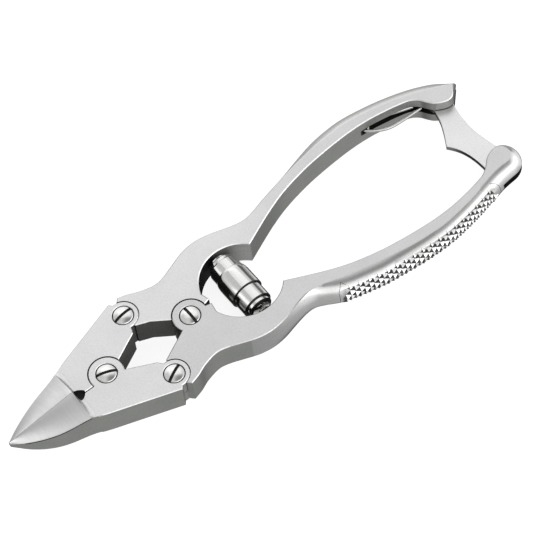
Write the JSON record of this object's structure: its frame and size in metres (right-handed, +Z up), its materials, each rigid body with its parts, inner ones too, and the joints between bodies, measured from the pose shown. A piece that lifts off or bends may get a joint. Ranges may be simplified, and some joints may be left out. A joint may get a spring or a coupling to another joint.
{
  "type": "nail nipper",
  "caption": "Double-action nail nipper with pointed cutting head, spring barrel between the handles, curved knurled grips and an end latch.",
  "frame": {"origin": "centre of the footprint, on the surface the closed tool lies on", "axes": "+X from the cutting tip to the handle ends, +Y towards the upper handle, +Z up from the surface"},
  "size_m": [0.1512, 0.0473, 0.0109],
  "materials": {
    "satin_steel": "satin brushed stainless steel",
    "satin_plate": "fine satin stainless sheet",
    "polished_steel": "mirror polished stainless steel",
    "spring_steel": "bright drawn spring wire"
  },
  "bodies": {
    "lower_handle": {"lower_handle": "satin_steel", "lower_link_screw": "polished_steel", "lower_ball_stud": "polished_steel", "latch_catch_pin": "polished_steel"},
    "upper_handle": {"upper_handle": "satin_steel", "handle_pivot_screw": "polished_steel", "upper_link_screw": "polished_steel", "upper_ball_stud": "polished_steel", "latch_pivot_pin": "polished_steel", "latch_spring": "spring_steel", "latch_spring_pin": "polished_steel"},
    "lower_jaw": {"lower_jaw": "satin_steel"},
    "upper_jaw": {"upper_jaw": "satin_steel", "jaw_pivot_screw": "polished_steel"},
    "barrel_foot": {"barrel_plunger": "polished_steel", "barrel_spring": "spring_steel"},
    "barrel_middle": {"barrel_middle_sleeve": "polished_steel"},
    "barrel_head": {"barrel_outer_sleeve": "polished_steel", "barrel_end_cap": "polished_steel"},
    "latch": {"latch_lever": "satin_plate"}
  },
  "joints": [
    {"name": "handle_pivot", "type": "hinge", "parent": "lower_handle", "child": "upper_handle", "pos_m": [-0.01996, 0, 0.0046], "axis": [0, 0, 1], "range_deg": [0, 18]},
    {"name": "lower_link_pivot", "type": "hinge", "parent": "lower_handle", "child": "lower_jaw", "pos_m": [-0.03296, -0.0109, 0.0046], "axis": [0, 0, 1], "range_deg": [0, 18]},
    {"name": "jaw_pivot", "type": "hinge", "parent": "lower_jaw", "child": "upper_jaw", "pos_m": [-0.04596, 0, 0.0046], "axis": [0, 0, -1], "range_deg": [0, 18]},
    {"name": "barrel_swivel", "type": "hinge", "parent": "lower_handle", "child": "barrel_foot", "pos_m": [-0.00396, -0.0108, 0.0046], "axis": [0, 0, 1], "range_deg": [0, 9]},
    {"name": "barrel_slide", "type": "slide", "parent": "barrel_foot", "child": "barrel_head", "axis": [0, 1, 0], "range_m": [0, 0.00474], "deforming": ["barrel_spring"]},
    {"name": "barrel_middle_slide", "type": "slide", "parent": "barrel_foot", "child": "barrel_middle", "axis": [0, 1, 0], "range_m": [0, 0.00237]},
    {"name": "latch_swing", "type": "hinge", "parent": "upper_handle", "child": "latch", "pos_m": [0.06944, 0.012, 0.0046], "axis": [0, 0, 1], "range_deg": [0, 70]}
  ],
  "couplings": [
    {"joint": "lower_link_pivot", "follows": "handle_pivot", "ratio": 1},
    {"joint": "jaw_pivot", "follows": "handle_pivot", "ratio": 1},
    {"joint": "barrel_swivel", "follows": "handle_pivot", "ratio": 0.5},
    {"joint": "barrel_slide", "follows": "handle_pivot", "m_per_rad": 0.01506},
    {"joint": "barrel_middle_slide", "follows": "handle_pivot", "m_per_rad": 0.00753}
  ]
}
